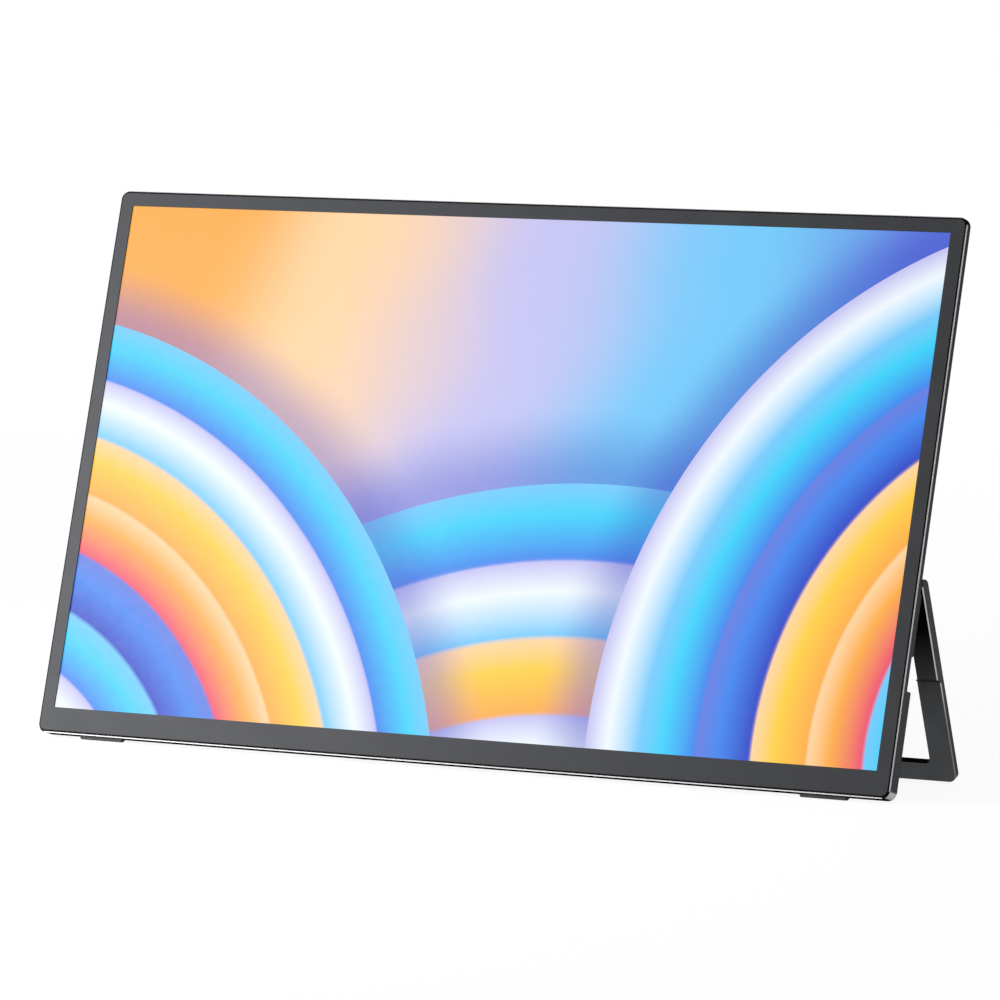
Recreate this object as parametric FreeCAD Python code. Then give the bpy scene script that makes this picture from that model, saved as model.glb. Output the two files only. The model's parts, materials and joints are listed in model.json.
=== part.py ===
import FreeCAD, Part
import math
import os

from FreeCAD import Vector

# Portable monitor that leans back on two feet and a fold-out U-shaped stand.
# The display is drawn upright in its own frame: x to the right, y backwards from the
# front face, z upwards from the bottom edge. It is then leaned back as it stands.

# Slots and sockets with round ends keep a trace of flat there
round_ratio = 0.98

# Picture area and the borders round it
active_width = 409.8
active_height = 230.5
side_border = 7.1
top_border = 6.9
bottom_border = 11.5
corner_radius = 4.0

# Layers from the front face backwards
bezel_thickness = 0.6
tape_thickness = 0.1
glass_thickness = 1.0
film_thickness = 0.3
guide_thickness = 0.6
reflector_thickness = 0.15
tray_floor = 0.45
cover_plate = 1.1
lower_step = 3.3

# Front edge: rounded bezel rim, then a polished bevel on the frame
rim_radius = 0.5
bevel_width = 0.4
bevel_depth = 0.5

# Panel seat in the frame
panel_margin = 2.0
panel_lower_margin = 6.0
panel_gap = 0.3
flex_lane = 0.7
tray_wall = 0.4
stack_gap = 0.3
strip_height = 2.5

# Thick lower section of the rear cover
ledge_height = 46.3
ledge_round = 0.4
bottom_round = 0.6
panel_edge_round = 0.5
side_wall = 1.6
bottom_wall = 1.6
ledge_wall = 1.2
back_wall = 1.0

# Stance
lean_angle = 18.0
floor_gap = 0.536

# Feet under the bottom edge
foot_inset = 32.0
foot_length = 23.0
foot_width = 2.6
foot_front = 3.7
foot_recess = 0.7
foot_play = 0.05
foot_drop = 3.0
foot_bevel = 0.6
foot_bevel_limit = 0.7

# Stand: a U of two legs and a bottom bar, hinged at the leg tops
hinge_height = 91.3
hinge_depth = 7.4
fold_gap = 0.15
leg_width_upper = 9.6
leg_width_lower = 11.4
leg_thick_upper = 5.7
leg_thick_lower = 3.3
ramp_gap = 0.2
bar_height = 8.7
bar_past_edge = 0.9
stand_corner = 4.0
stand_inner_corner = 2.2
stand_bevel = 0.42

# Rubber strip under the stand's bar
strip_inset = 40.0
strip_width = 1.9
strip_setback = 0.6
strip_depth = 0.8
strip_proud = 0.6
strip_spare = 0.5

# Raised seats that the folded legs lie on
seat_width = 10.2
seat_above_ledge = 14.7
seat_top_gap = 3.9

# Hinge hardware
pin_radius = 1.25
pin_play = 0.03
pin_fit = 0.01
pin_depth_in_leg = 7.2
barrel_radius = 2.55
barrel_length = 13.6
washer_thickness = 0.35
washer_radius = 2.4
washer_play = 0.06
clip_thickness = 0.6
clip_radius = 2.2
pin_end = 0.5
bracket_thickness = 0.8
bracket_inner = 4.0
bracket_height = 26.0
rivet_radius = 0.9
rivet_head_radius = 1.7
rivet_head = 0.5
rivet_edge = 4.5

# Cover screws into the frame
screw_radius = 0.7
screw_head_radius = 1.4
screw_head = 0.45
screw_reach = 1.6
screw_play = 0.1
screw_edge = 2.4
screw_inset = 32.0

# Sockets on the left side wall
port_recess = 0.3
port_wall = 0.3
port_height = 3.16
port_length = 7.3
port_play = 0.15
port_rise = 0.1
usb_width = 8.94
hdmi_width = 11.2
hdmi_chamfer = 0.9
usb_count = 2
tongue_thickness = 0.7
tongue_margin = 0.85
tongue_length = 5.2

# Circuit boards
board_thickness = 0.8
board_length = 92.0
board_bottom = 4.5
board_top_gap = 5.3
board_lift = 0.8
boss_radius = 2.2
boss_edge = 4.0
board_screw_radius = 0.8
board_screw_head_radius = 1.6
board_screw_head = 0.55
driver_gap = 17.4
driver_bottom = 6.0
driver_height = 10.0
driver_thickness = 0.6
ribbon_height = 5.0
ribbon_overlap = 8.0
flex_width = 40.0
flex_thickness = 0.15

# Components on the main board
chip_size = 12.0
chip_height = 1.2
coil_size = 5.0
coil_height = 1.6
coil_pitch = 7.0
coil_count = 3
connector_length = 6.0
connector_height = 2.0

# Speakers behind slots in the back wall
speaker_gap = 8.4
speaker_length = 44.0
speaker_above_driver = 4.0
speaker_top_gap = 6.3
speaker_lift = 0.1
slot_count = 11
slot_pitch = 3.2
slot_width = 1.2
slot_height_ratio = 0.45
lead_height = 1.6
lead_thickness = 0.3
lead_step = 0.5

# Power button and menu rocker on the back, near the sockets
button_proud = 0.7
button_play = 0.3
power_inset = 42.0
power_radius = 4.0
power_flange = 0.9
power_travel = 0.4
power_flange_gap = 0.1
rocker_inset = 72.0
rocker_width = 6.0
rocker_length = 16.0
rocker_corner = 1.8
rocker_swing = 3.0
rocker_pivot_lift = 0.1
rocker_pin_radius = 0.6
rocker_pin_play = 0.05
rocker_pin_reach = 1.6
rocker_edge_round = 0.6
switch_size = 4.0
switch_height = 0.7
switch_play = 0.05
rocker_switch_offset = 5.5

# Places worked out from the sizes above
half_width = active_width / 2 + side_border
body_height = bottom_border + active_height + top_border
glass_front = bezel_thickness + tape_thickness
glass_back = glass_front + glass_thickness
film_back = glass_back + film_thickness
guide_back = film_back + guide_thickness
reflector_back = guide_back + reflector_thickness
cover_front = reflector_back + tray_floor
thin_depth = cover_front + cover_plate
thick_depth = thin_depth + lower_step
cover_inside = thick_depth - back_wall
panel_half = active_width / 2 + panel_margin
panel_bottom = bottom_border - panel_lower_margin
panel_top = bottom_border + active_height + panel_margin
stack_inset = tray_wall + stack_gap
foot_centre = half_width - foot_inset
button_height = ledge_height / 2

# Stand places, measured from the hinge axis along the leg and across it
fold_back = thick_depth + fold_gap + leg_thick_lower
leg_back = fold_back - hinge_depth
leg_front_upper = leg_back - leg_thick_upper
leg_front_lower = leg_back - leg_thick_lower
leg_middle = (leg_back + leg_front_upper) / 2
leg_inner_upper = half_width - leg_width_upper
leg_inner_lower = half_width - leg_width_lower
bar_reach = hinge_height + bar_past_edge
ramp_end = hinge_height - ledge_height - ramp_gap
ramp_start = ramp_end - (leg_front_lower - leg_front_upper)
strip_length = 2 * (half_width - strip_inset)
seat_bottom = ledge_height + seat_above_ledge

# Places inside the thick lower section, worked out from the sockets towards the middle
port_front = cover_front + port_rise
port_mouth = -half_width + port_recess
board_left = port_mouth + port_length
board_right = board_left + board_length
board_front = cover_front + board_lift
board_back = board_front + board_thickness
board_top = ledge_height - board_top_gap
switch_back = board_back + switch_height
driver_half_length = -board_right - driver_gap
speaker_centre = -board_right - speaker_gap - speaker_length / 2
speaker_bottom = driver_bottom + driver_height + speaker_above_driver
speaker_height = ledge_height - speaker_top_gap - speaker_bottom
slot_height = speaker_height * slot_height_ratio


def block(x0, x1, y0, y1, z0, z1):
    return Part.makeBox(x1 - x0, y1 - y0, z1 - z0, Vector(x0, y0, z0))


def arc_edge(centre_x, centre_z, radius, quarter, y):
    """One quarter of a circle in the plane y; quarter 0 starts along x."""
    points = []
    for turn in (0, 0.5, 1):
        angle = (quarter + turn) * math.pi / 2
        x = centre_x + radius * math.cos(angle)
        z = centre_z + radius * math.sin(angle)
        points.append(Vector(x, y, z))
    return Part.Arc(*points).toShape()


def rounded_wire(x0, x1, z0, z1, radius, y):
    corners = ((x1 - radius, z1 - radius), (x0 + radius, z1 - radius))
    corners += ((x0 + radius, z0 + radius), (x1 - radius, z0 + radius))
    arcs = []
    for quarter, (centre_x, centre_z) in enumerate(corners):
        arcs.append(arc_edge(centre_x, centre_z, radius, quarter, y))
    edges = []
    for arc, following in zip(arcs, arcs[1:] + arcs[:1]):
        start = arc.valueAt(arc.LastParameter)
        end = following.valueAt(following.FirstParameter)
        edges += [arc, Part.LineSegment(start, end).toShape()]
    return Part.Wire(edges)


def plate(x0, x1, z0, z1, radius, y0, y1):
    """A flat plate with rounded corners, facing along y."""
    face = Part.Face(rounded_wire(x0, x1, z0, z1, radius, y0))
    return face.extrude(Vector(0, y1 - y0, 0))


def body_plate(inset, y0, y1):
    """A plate with the outline of the whole display, drawn in by an inset."""
    right = half_width - inset
    return plate(-right, right, inset, body_height - inset, corner_radius - inset, y0, y1)


def panel_plate(inset, y0, y1, bottom=panel_bottom):
    """A plain sheet with the outline of the panel, drawn in by an inset."""
    right = panel_half - inset
    return block(-right, right, y0, y1, bottom + inset, panel_top - inset)


def peg(radius, y0, y1, x, z):
    """A round peg along y."""
    return Part.makeCylinder(radius, y1 - y0, Vector(x, y0, z), Vector(0, 1, 0))


def axle(radius, x0, x1, y, z):
    """A round bar along x, whichever end comes first."""
    start = min(x0, x1)
    return Part.makeCylinder(radius, abs(x1 - x0), Vector(start, y, z), Vector(1, 0, 0))


def edges_at_depth(shape, y):
    found = []
    for edge in shape.Edges:
        if all(abs(vertex.Y - y) < 1e-6 for vertex in edge.Vertexes):
            found.append(edge)
    return found


def front_bezel():
    shape = body_plate(bevel_width, 0, bezel_thickness)
    shape = shape.makeFillet(rim_radius, edges_at_depth(shape, 0))
    top = bottom_border + active_height
    window = block(-active_width / 2, active_width / 2, 0, bezel_thickness, bottom_border, top)
    return shape.cut(window)


def bezel_tape():
    top = bottom_border + active_height
    window = block(-active_width / 2, active_width / 2, bezel_thickness, glass_front, bottom_border, top)
    return panel_plate(0, bezel_thickness, glass_front).cut(window)


def panel_tray():
    tray = panel_plate(0, glass_back, cover_front)
    return tray.cut(panel_plate(tray_wall, glass_back, reflector_back))


def sheet_stack():
    """The optical films, light guide and reflector, with the light strip under their edge."""
    strip_top = panel_bottom + stack_inset + strip_height
    guide_bottom = strip_top + stack_gap - stack_inset
    strip = block(-panel_half + stack_inset, panel_half - stack_inset, film_back, guide_back,
                  panel_bottom + stack_inset, strip_top)
    return {
        "optical_films": panel_plate(stack_inset, glass_back, film_back),
        "light_guide": panel_plate(stack_inset, film_back, guide_back, guide_bottom),
        "reflector_sheet": panel_plate(stack_inset, guide_back, reflector_back),
        "led_strip": strip,
    }


def screw_places():
    """Four screws along the top edge and two up each side above the hinge, evenly spaced."""
    places = []
    top = body_height - screw_edge
    column = half_width - screw_inset
    row_pitch = (top - hinge_height) / 3
    for side in (-1, 1):
        places += [(side * column, top), (side * column / 3, top)]
        edge = side * (half_width - screw_edge)
        places += [(edge, hinge_height + row_pitch), (edge, hinge_height + 2 * row_pitch)]
    return places


def mid_frame():
    bevel_back = bezel_thickness + bevel_depth
    outlines = []
    for inset, depth in ((bevel_width, bezel_thickness), (0, bevel_back)):
        right = half_width - inset
        outline = rounded_wire(-right, right, inset, body_height - inset, corner_radius - inset, depth)
        outlines.append(outline)
    bevel = Part.makeLoft(outlines, True, True)
    frame = bevel.fuse(body_plate(0, bevel_back, cover_front))
    inner = panel_half + panel_gap
    frame = frame.cut(block(-inner, inner, 0, cover_front, panel_bottom - flex_lane, panel_top + panel_gap))
    for x, z in screw_places():
        frame = frame.cut(peg(screw_radius, cover_front - screw_reach, cover_front, x, z))
    return frame.removeSplitter()


def lower_housing():
    """The thick lower section, rounded along its bottom edge and along its ledge."""
    start = Vector(-half_width, cover_front, 0)
    bottom_mid = bottom_round * (1 - math.sqrt(0.5))
    ledge_mid = ledge_round * (1 - math.sqrt(0.5))
    points = [
        (thick_depth - bottom_round, 0),
        (thick_depth - bottom_mid, bottom_mid),
        (thick_depth, bottom_round),
        (thick_depth, ledge_height - ledge_round),
        (thick_depth - ledge_mid, ledge_height - ledge_mid),
        (thick_depth - ledge_round, ledge_height),
        (cover_front, ledge_height),
    ]
    corners = [Vector(-half_width, y, z) for y, z in points]
    edges = [
        Part.LineSegment(start, corners[0]).toShape(),
        Part.Arc(*corners[0:3]).toShape(),
        Part.LineSegment(corners[2], corners[3]).toShape(),
        Part.Arc(*corners[3:6]).toShape(),
        Part.LineSegment(corners[5], corners[6]).toShape(),
        Part.LineSegment(corners[6], start).toShape(),
    ]
    section = Part.Face(Part.Wire(edges))
    housing = section.extrude(Vector(2 * half_width, 0, 0))
    return housing.common(body_plate(0, cover_front, thick_depth))


def hinge_seat(side):
    inner = half_width - seat_width
    x0, x1 = sorted((side * inner, side * half_width))
    seat_depth = hinge_depth + leg_front_upper - fold_gap
    return block(x0, x1, cover_front, seat_depth, seat_bottom, hinge_height - seat_top_gap)


def port_places():
    """Each socket's name, width and height of its centre, with one gap between and two at the ends."""
    gap = (ledge_height - hdmi_width - usb_count * usb_width) / (usb_count + 4)
    places = [("mini_hdmi_port", hdmi_width, 2 * gap + hdmi_width / 2)]
    top = 2 * gap + hdmi_width
    for number in range(1, usb_count + 1):
        places.append((f"usb_c_port_{number}", usb_width, top + gap + usb_width / 2))
        top += gap + usb_width
    return places


def boss_places():
    places = []
    for x in (board_left + boss_edge, board_right - boss_edge):
        for z in (board_bottom + boss_edge, board_top - boss_edge):
            places.append((x, z))
    return places


def rivet_places(side):
    """Two rivets on the bracket's centre line, below the barrel."""
    inner = half_width - seat_width
    middle = side * (inner - (barrel_length + bracket_inner) / 2)
    top = hinge_height - barrel_radius
    return [(middle, top - rivet_edge), (middle, top - bracket_height + rivet_edge)]


def rear_cover():
    shell = body_plate(0, cover_front, thin_depth)
    shell = shell.makeFillet(panel_edge_round, edges_at_depth(shell, thin_depth))
    shell = shell.fuse([lower_housing(), hinge_seat(-1), hinge_seat(1)])
    right = half_width - side_wall
    pocket_top = ledge_height - ledge_wall
    shell = shell.cut(block(-right, right, cover_front, cover_inside, bottom_wall, pocket_top))
    for x, z in boss_places():
        boss = peg(boss_radius, board_back, cover_inside, x, z)
        shell = shell.fuse(boss.cut(peg(board_screw_radius, board_back, cover_inside, x, z)))
    for cutter in cover_cutters():
        shell = shell.cut(cutter)
    return shell.removeSplitter()


def cover_cutters():
    cutters = []
    for x, z in screw_places():
        cutters.append(peg(screw_radius + screw_play, cover_front, thin_depth, x, z))
        seat = thin_depth - screw_head - screw_play
        cutters.append(peg(screw_head_radius + screw_play, seat, thin_depth, x, z))
    for name, width, centre in port_places():
        reach = width / 2 + port_play
        back = port_front + port_height + port_play
        cutters.append(block(-half_width, -half_width + side_wall, cover_front, back,
                             centre - reach, centre + reach))
    for side in (-1, 1):
        for x, z in rivet_places(side):
            cutters.append(peg(rivet_radius, cover_front, thin_depth, x, z))
        cutters.append(foot_block(side, foot_play, 0))
        for index in range(slot_count):
            middle = side * speaker_centre + (index - (slot_count - 1) / 2) * slot_pitch
            low = speaker_bottom + (speaker_height - slot_height) / 2
            cutters.append(plate(middle - slot_width / 2, middle + slot_width / 2, low, low + slot_height,
                                 slot_width / 2 * round_ratio, cover_inside, thick_depth))
    power_x = -half_width + power_inset
    cutters.append(peg(power_radius + button_play, cover_inside, thick_depth, power_x, button_height))
    reach_x = rocker_width / 2 + button_play
    reach_z = rocker_length / 2 + button_play
    rocker_x = -half_width + rocker_inset
    cutters.append(block(rocker_x - reach_x, rocker_x + reach_x, cover_inside, thick_depth,
                         button_height - reach_z, button_height + reach_z))
    slot_half = rocker_width / 2 + rocker_pin_reach + button_play
    pivot = cover_inside + rocker_pivot_lift
    slot_radius = rocker_pin_radius + rocker_pin_play
    cutters.append(axle(slot_radius, rocker_x - slot_half, rocker_x + slot_half, pivot, button_height))
    cutters.append(block(rocker_x - slot_half, rocker_x + slot_half, cover_inside, pivot,
                         button_height - slot_radius, button_height + slot_radius))
    return cutters


def foot_block(side, play, drop):
    """A long round-ended pad set into the bottom wall, reaching down by a drop."""
    radius = foot_width / 2 + play
    length = foot_length - foot_width
    middle = foot_front + foot_width / 2
    top = foot_recess + play
    x0 = side * foot_centre - length / 2
    pad = block(x0, x0 + length, middle - radius, middle + radius, -drop, top)
    for x in (x0, x0 + length):
        pad = pad.fuse(Part.makeCylinder(radius, top + drop, Vector(x, middle, -drop)))
    return pad.removeSplitter()


def cover_screws():
    screws = []
    head_front = thin_depth - screw_head - screw_play
    for x, z in screw_places():
        shank = peg(screw_radius, cover_front - screw_reach, head_front, x, z)
        head = peg(screw_head_radius, head_front, head_front + screw_head, x, z)
        screws.append(shank.fuse(head).removeSplitter())
    return Part.makeCompound(screws)


def port_shell(width, centre, height_inset):
    """Outline of a socket, drawn in by an inset on every side."""
    z0 = centre - width / 2 + height_inset
    z1 = centre + width / 2 - height_inset
    y0 = port_front + height_inset
    y1 = port_front + port_height - height_inset
    return z0, z1, y0, y1


def usb_c_port(width, centre):
    solids = []
    for inset, back in ((0, board_left), (port_wall, board_left - port_wall)):
        z0, z1, y0, y1 = port_shell(width, centre, inset)
        radius = (y1 - y0) / 2 * round_ratio
        body = block(port_mouth, back, y0, y1, z0, z1)
        long_edges = [edge for edge in body.Edges if abs(edge.BoundBox.XLength - (back - port_mouth)) < 1e-6]
        solids.append(body.makeFillet(radius, long_edges))
    return solids[0].cut(solids[1])


def mini_hdmi_port(width, centre):
    solids = []
    for inset, back in ((0, board_left), (port_wall, board_left - port_wall)):
        z0, z1, y0, y1 = port_shell(width, centre, inset)
        slope = hdmi_chamfer
        outline = [(y0, z0), (y1 - slope, z0), (y1, z0 + slope), (y1, z1 - slope), (y1 - slope, z1), (y0, z1)]
        points = [Vector(port_mouth, y, z) for y, z in outline]
        face = Part.Face(Part.makePolygon(points + points[:1]))
        solids.append(face.extrude(Vector(back - port_mouth, 0, 0)))
    return solids[0].cut(solids[1])


def port_tongues():
    tongues = []
    back = board_left - port_wall
    middle = port_front + port_height / 2
    half = tongue_thickness / 2
    for name, width, centre in port_places():
        reach = width / 2 - port_wall - tongue_margin
        tongues.append(block(back - tongue_length, back, middle - half, middle + half,
                             centre - reach, centre + reach))
    return Part.makeCompound(tongues)


def main_board():
    board = block(board_left, board_right, board_front, board_back, board_bottom, board_top)
    for x, z in boss_places():
        board = board.cut(peg(board_screw_radius, board_front, board_back, x, z))
    return board


def board_screws():
    screws = []
    for x, z in boss_places():
        head = peg(board_screw_head_radius, board_front - board_screw_head, board_front, x, z)
        screws.append(head.fuse(peg(board_screw_radius, board_front, cover_inside, x, z)).removeSplitter())
    return Part.makeCompound(screws)


def board_parts():
    """Display chip, power coils and the speaker connector on the back of the main board."""
    chip_right = board_right - 2 * boss_edge
    chip_bottom = (board_bottom + board_top - chip_size) / 2
    chip = block(chip_right - chip_size, chip_right, board_back, board_back + chip_height,
                 chip_bottom, chip_bottom + chip_size)
    parts = [chip]
    for index in range(coil_count):
        x0 = board_left + 2 * boss_edge + index * coil_pitch
        z0 = board_bottom + boss_edge
        parts.append(block(x0, x0 + coil_size, board_back, board_back + coil_height, z0, z0 + coil_size))
    top = speaker_bottom + speaker_height + lead_height
    parts.append(block(board_right - connector_length, board_right, board_back, cover_inside,
                       top - connector_height, top))
    return Part.makeCompound(parts)


def button_switches():
    rocker_x = -half_width + rocker_inset
    places = [(-half_width + power_inset, button_height)]
    for offset in (-rocker_switch_offset, rocker_switch_offset):
        places.append((rocker_x, button_height + offset))
    half = switch_size / 2
    bodies = []
    for x, z in places:
        bodies.append(block(x - half, x + half, board_back, switch_back, z - half, z + half))
    return Part.makeCompound(bodies)


def driver_board():
    back = cover_front + driver_thickness
    top = driver_bottom + driver_height
    return block(-driver_half_length, driver_half_length, cover_front, back, driver_bottom, top)


def display_ribbon():
    front = cover_front + driver_thickness
    z0 = driver_bottom + driver_height - ribbon_height
    return block(board_right - ribbon_overlap, -driver_half_length + ribbon_overlap, front, board_front,
                 z0, z0 + ribbon_height)


def panel_flex():
    half = flex_width / 2
    low = panel_bottom - flex_thickness
    edge = block(-half, half, glass_front, cover_front + flex_thickness, low, panel_bottom)
    tail = block(-half, half, cover_front, cover_front + flex_thickness, low, driver_bottom)
    return edge.fuse(tail).removeSplitter()


def speaker(side):
    middle = side * speaker_centre
    half = speaker_length / 2
    body = block(middle - half, middle + half, cover_front + speaker_lift, cover_inside - speaker_lift,
                 speaker_bottom, speaker_bottom + speaker_height)
    long_edges = [edge for edge in body.Edges if abs(edge.BoundBox.YLength - body.BoundBox.YLength) < 1e-6]
    return body.makeFillet(slot_pitch, long_edges)


def speaker_lead(side):
    """Flat lead from the board's connector along the top of the speakers."""
    back = cover_inside
    if side < 0:
        back = cover_inside - lead_thickness - lead_step
    low = speaker_bottom + speaker_height
    return block(board_right, side * speaker_centre, back - lead_thickness, back, low, low + lead_height)


def hinge_bracket(side):
    outer = half_width - seat_width
    inner = outer - barrel_length
    x0, x1 = sorted((side * inner, side * outer))
    back = thin_depth + bracket_thickness
    base_x0, base_x1 = sorted((side * (inner - bracket_inner), side * outer))
    top = hinge_height + barrel_radius
    base = block(base_x0, base_x1, thin_depth, back, hinge_height - barrel_radius - bracket_height, top)
    web = block(x0, x1, thin_depth, hinge_depth, hinge_height - barrel_radius, top)
    bracket = base.fuse([web, axle(barrel_radius, x0, x1, hinge_depth, hinge_height)])
    bracket = bracket.cut(axle(pin_radius + pin_play, x0, x1, hinge_depth, hinge_height))
    for x, z in rivet_places(side):
        bracket = bracket.cut(peg(rivet_radius, thin_depth, back, x, z))
    return bracket.removeSplitter()


def hinge_rivets():
    rivets = []
    head_front = thin_depth + bracket_thickness
    for side in (-1, 1):
        for x, z in rivet_places(side):
            shank = peg(rivet_radius, cover_front, head_front, x, z)
            head = peg(rivet_head_radius, head_front, head_front + rivet_head, x, z)
            rivets.append(shank.fuse(head).removeSplitter())
    return Part.makeCompound(rivets)


def friction_washer(side):
    """Pressed between the barrel's end and the leg."""
    outer = side * leg_inner_upper
    inner = side * (leg_inner_upper - washer_thickness)
    ring = axle(washer_radius, inner, outer, hinge_depth, hinge_height)
    return ring.cut(axle(pin_radius + washer_play, inner, outer, hinge_depth, hinge_height))


def power_button():
    x = -half_width + power_inset
    flange_back = cover_inside - power_flange_gap
    flange_front = switch_back + power_travel + switch_play
    flange = peg(power_radius + power_flange, flange_front, flange_back, x, button_height)
    cap = peg(power_radius, flange_back, thick_depth + button_proud, x, button_height)
    cap = cap.makeFillet(rocker_edge_round, edges_at_depth(cap, thick_depth + button_proud))
    return flange.fuse(cap).removeSplitter()


def menu_rocker():
    x = -half_width + rocker_inset
    half = rocker_width / 2
    swing = math.tan(math.radians(rocker_swing)) * rocker_length / 2
    front = switch_back + swing + switch_play
    cap = plate(x - half, x + half, button_height - rocker_length / 2, button_height + rocker_length / 2,
                rocker_corner, front, thick_depth + button_proud)
    cap = cap.makeFillet(rocker_edge_round, edges_at_depth(cap, thick_depth + button_proud))
    reach = half + rocker_pin_reach
    pin = axle(rocker_pin_radius, x - reach, x + reach, cover_inside + rocker_pivot_lift, button_height)
    return cap.fuse(pin).removeSplitter()


def leg_profile():
    """Side view of the stand: round top, thick upper leg, sloped step, thin lower leg."""
    radius = leg_thick_upper / 2
    x = -half_width
    back_top = Vector(x, leg_back, 0)
    crown = Vector(x, leg_middle, radius)
    front_top = Vector(x, leg_front_upper, 0)
    corners = [
        front_top,
        Vector(x, leg_front_upper, -ramp_start),
        Vector(x, leg_front_lower, -ramp_end),
        Vector(x, leg_front_lower, -bar_reach),
        Vector(x, leg_back, -bar_reach),
        back_top,
    ]
    edges = [Part.Arc(back_top, crown, front_top).toShape()]
    for start, end in zip(corners, corners[1:]):
        edges.append(Part.LineSegment(start, end).toShape())
    section = Part.Face(Part.Wire(edges))
    return section.extrude(Vector(2 * half_width, 0, 0))


def stand_outline():
    """Front view of the stand: a wide U with rounded lower corners."""
    top = leg_thick_upper
    front = leg_front_upper
    outer = plate(-half_width, half_width, -bar_reach, top + stand_corner, stand_corner, front, leg_back)
    bar_top = bar_height - bar_reach
    gap_top = top + 2 * stand_corner
    widening = leg_inner_upper - leg_inner_lower
    gap = plate(-leg_inner_lower, leg_inner_lower, bar_top, gap_top, stand_inner_corner, front, leg_back)
    x = leg_inner_upper
    shoulder = [(-x, gap_top), (-x, -ramp_start), (-leg_inner_lower, -ramp_start - widening)]
    shoulder += [(-px, pz) for px, pz in reversed(shoulder)]
    points = [Vector(px, front, pz) for px, pz in shoulder]
    upper_gap = Part.Face(Part.makePolygon(points + points[:1])).extrude(Vector(0, leg_back - front, 0))
    return outer.cut(gap).cut(upper_gap)


def front_edges(shape):
    """The front edges of both legs on the outside, the bottom edge, and those round the opening below the step."""
    found = []
    for edge in shape.Edges:
        box = edge.BoundBox
        flat = box.YLength < 1e-6
        upper = abs(box.YMin - leg_front_upper) < 1e-6
        lower = abs(box.YMin - leg_front_lower) < 1e-6
        outside = abs(abs(box.Center.x) - half_width) < 1e-6
        corner = abs(box.Center.x) > half_width - stand_corner and box.ZMax < -bar_reach + stand_corner + 1e-6
        bottom = box.ZMax < -bar_reach + 1e-6
        within = abs(box.Center.x) < leg_inner_lower + 1e-6
        opening = within and box.ZMin > -bar_reach + 1e-6 and box.ZMax < -ramp_end + 1e-6
        if flat and (upper or lower) and (outside or (lower and (corner or bottom or opening))):
            found.append(edge)
    return found


def strip_block(play, low):
    front = leg_front_lower + strip_setback - play
    half = strip_length / 2 + play
    back = front + strip_width + 2 * play
    return block(-half, half, front, back, -bar_reach - low, -bar_reach + strip_depth + play)


def stand_frame():
    frame = leg_profile().common(stand_outline())
    frame = frame.makeChamfer(stand_bevel, front_edges(frame))
    for side in (-1, 1):
        inner = side * leg_inner_upper
        frame = frame.cut(axle(pin_radius + pin_fit, inner, inner + side * pin_depth_in_leg, 0, 0))
    return frame.cut(strip_block(foot_play, 0)).removeSplitter()


def hinge_pin(side):
    outer = leg_inner_upper + pin_depth_in_leg - pin_fit
    inner = half_width - seat_width - barrel_length - clip_thickness - 2 * pin_end
    return axle(pin_radius, side * inner, side * outer, 0, 0)


def retaining_clip(side):
    """Ring on the pin, just clear of the barrel's inner end."""
    outer = half_width - seat_width - barrel_length - washer_play
    inner = outer - clip_thickness
    ring = axle(clip_radius, side * inner, side * outer, 0, 0)
    return ring.cut(axle(pin_radius + pin_fit, side * inner, side * outer, 0, 0))


def stance():
    """Height of the display's bottom edge, hinge place and the stand's slope from upright."""
    lean = math.radians(lean_angle)
    round_depth = thick_depth - bottom_round
    base_height = floor_gap + bottom_round * (1 - math.cos(lean)) + round_depth * math.sin(lean)
    hinge_y = hinge_height * math.sin(lean) + hinge_depth * math.cos(lean)
    hinge_z = base_height + hinge_height * math.cos(lean) - hinge_depth * math.sin(lean)
    reach = bar_reach + strip_proud
    across = leg_front_lower + strip_setback + strip_width / 2
    slope = math.acos(hinge_z / math.hypot(reach, across)) - math.atan2(across, reach)
    return base_height, hinge_y, hinge_z, math.degrees(slope)


def display_pieces():
    """Every piece of the display, upright."""
    pieces = {
        "front_bezel": front_bezel(),
        "bezel_tape": bezel_tape(),
        "lcd_panel": panel_plate(0, glass_front, glass_back),
        "panel_tray": panel_tray(),
        "mid_frame": mid_frame(),
        "rear_cover": rear_cover(),
        "cover_screws": cover_screws(),
        "port_tongues": port_tongues(),
        "main_board": main_board(),
        "board_parts": board_parts(),
        "board_screws": board_screws(),
        "button_switches": button_switches(),
        "driver_board": driver_board(),
        "display_ribbon": display_ribbon(),
        "panel_flex": panel_flex(),
        "hinge_rivets": hinge_rivets(),
        "power_button": power_button(),
        "menu_rocker": menu_rocker(),
    }
    pieces.update(sheet_stack())
    for name, width, centre in port_places():
        make_port = mini_hdmi_port if name == "mini_hdmi_port" else usb_c_port
        pieces[name] = make_port(width, centre)
    for word, side in (("left", -1), ("right", 1)):
        pieces[f"speaker_{word}"] = speaker(side)
        pieces[f"speaker_lead_{word}"] = speaker_lead(side)
        pieces[f"hinge_bracket_{word}"] = hinge_bracket(side)
        pieces[f"friction_washer_{word}"] = friction_washer(side)
        pieces[f"foot_{word}"] = foot_block(side, 0, foot_drop)
    return pieces


def stand_pieces():
    """Every piece of the stand, upright, with the hinge axis at its origin."""
    pieces = {"stand_frame": stand_frame(), "stand_strip": strip_block(0, strip_proud + strip_spare)}
    for word, side in (("left", -1), ("right", 1)):
        pieces[f"hinge_pin_{word}"] = hinge_pin(side)
        pieces[f"retaining_clip_{word}"] = retaining_clip(side)
    return pieces


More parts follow.
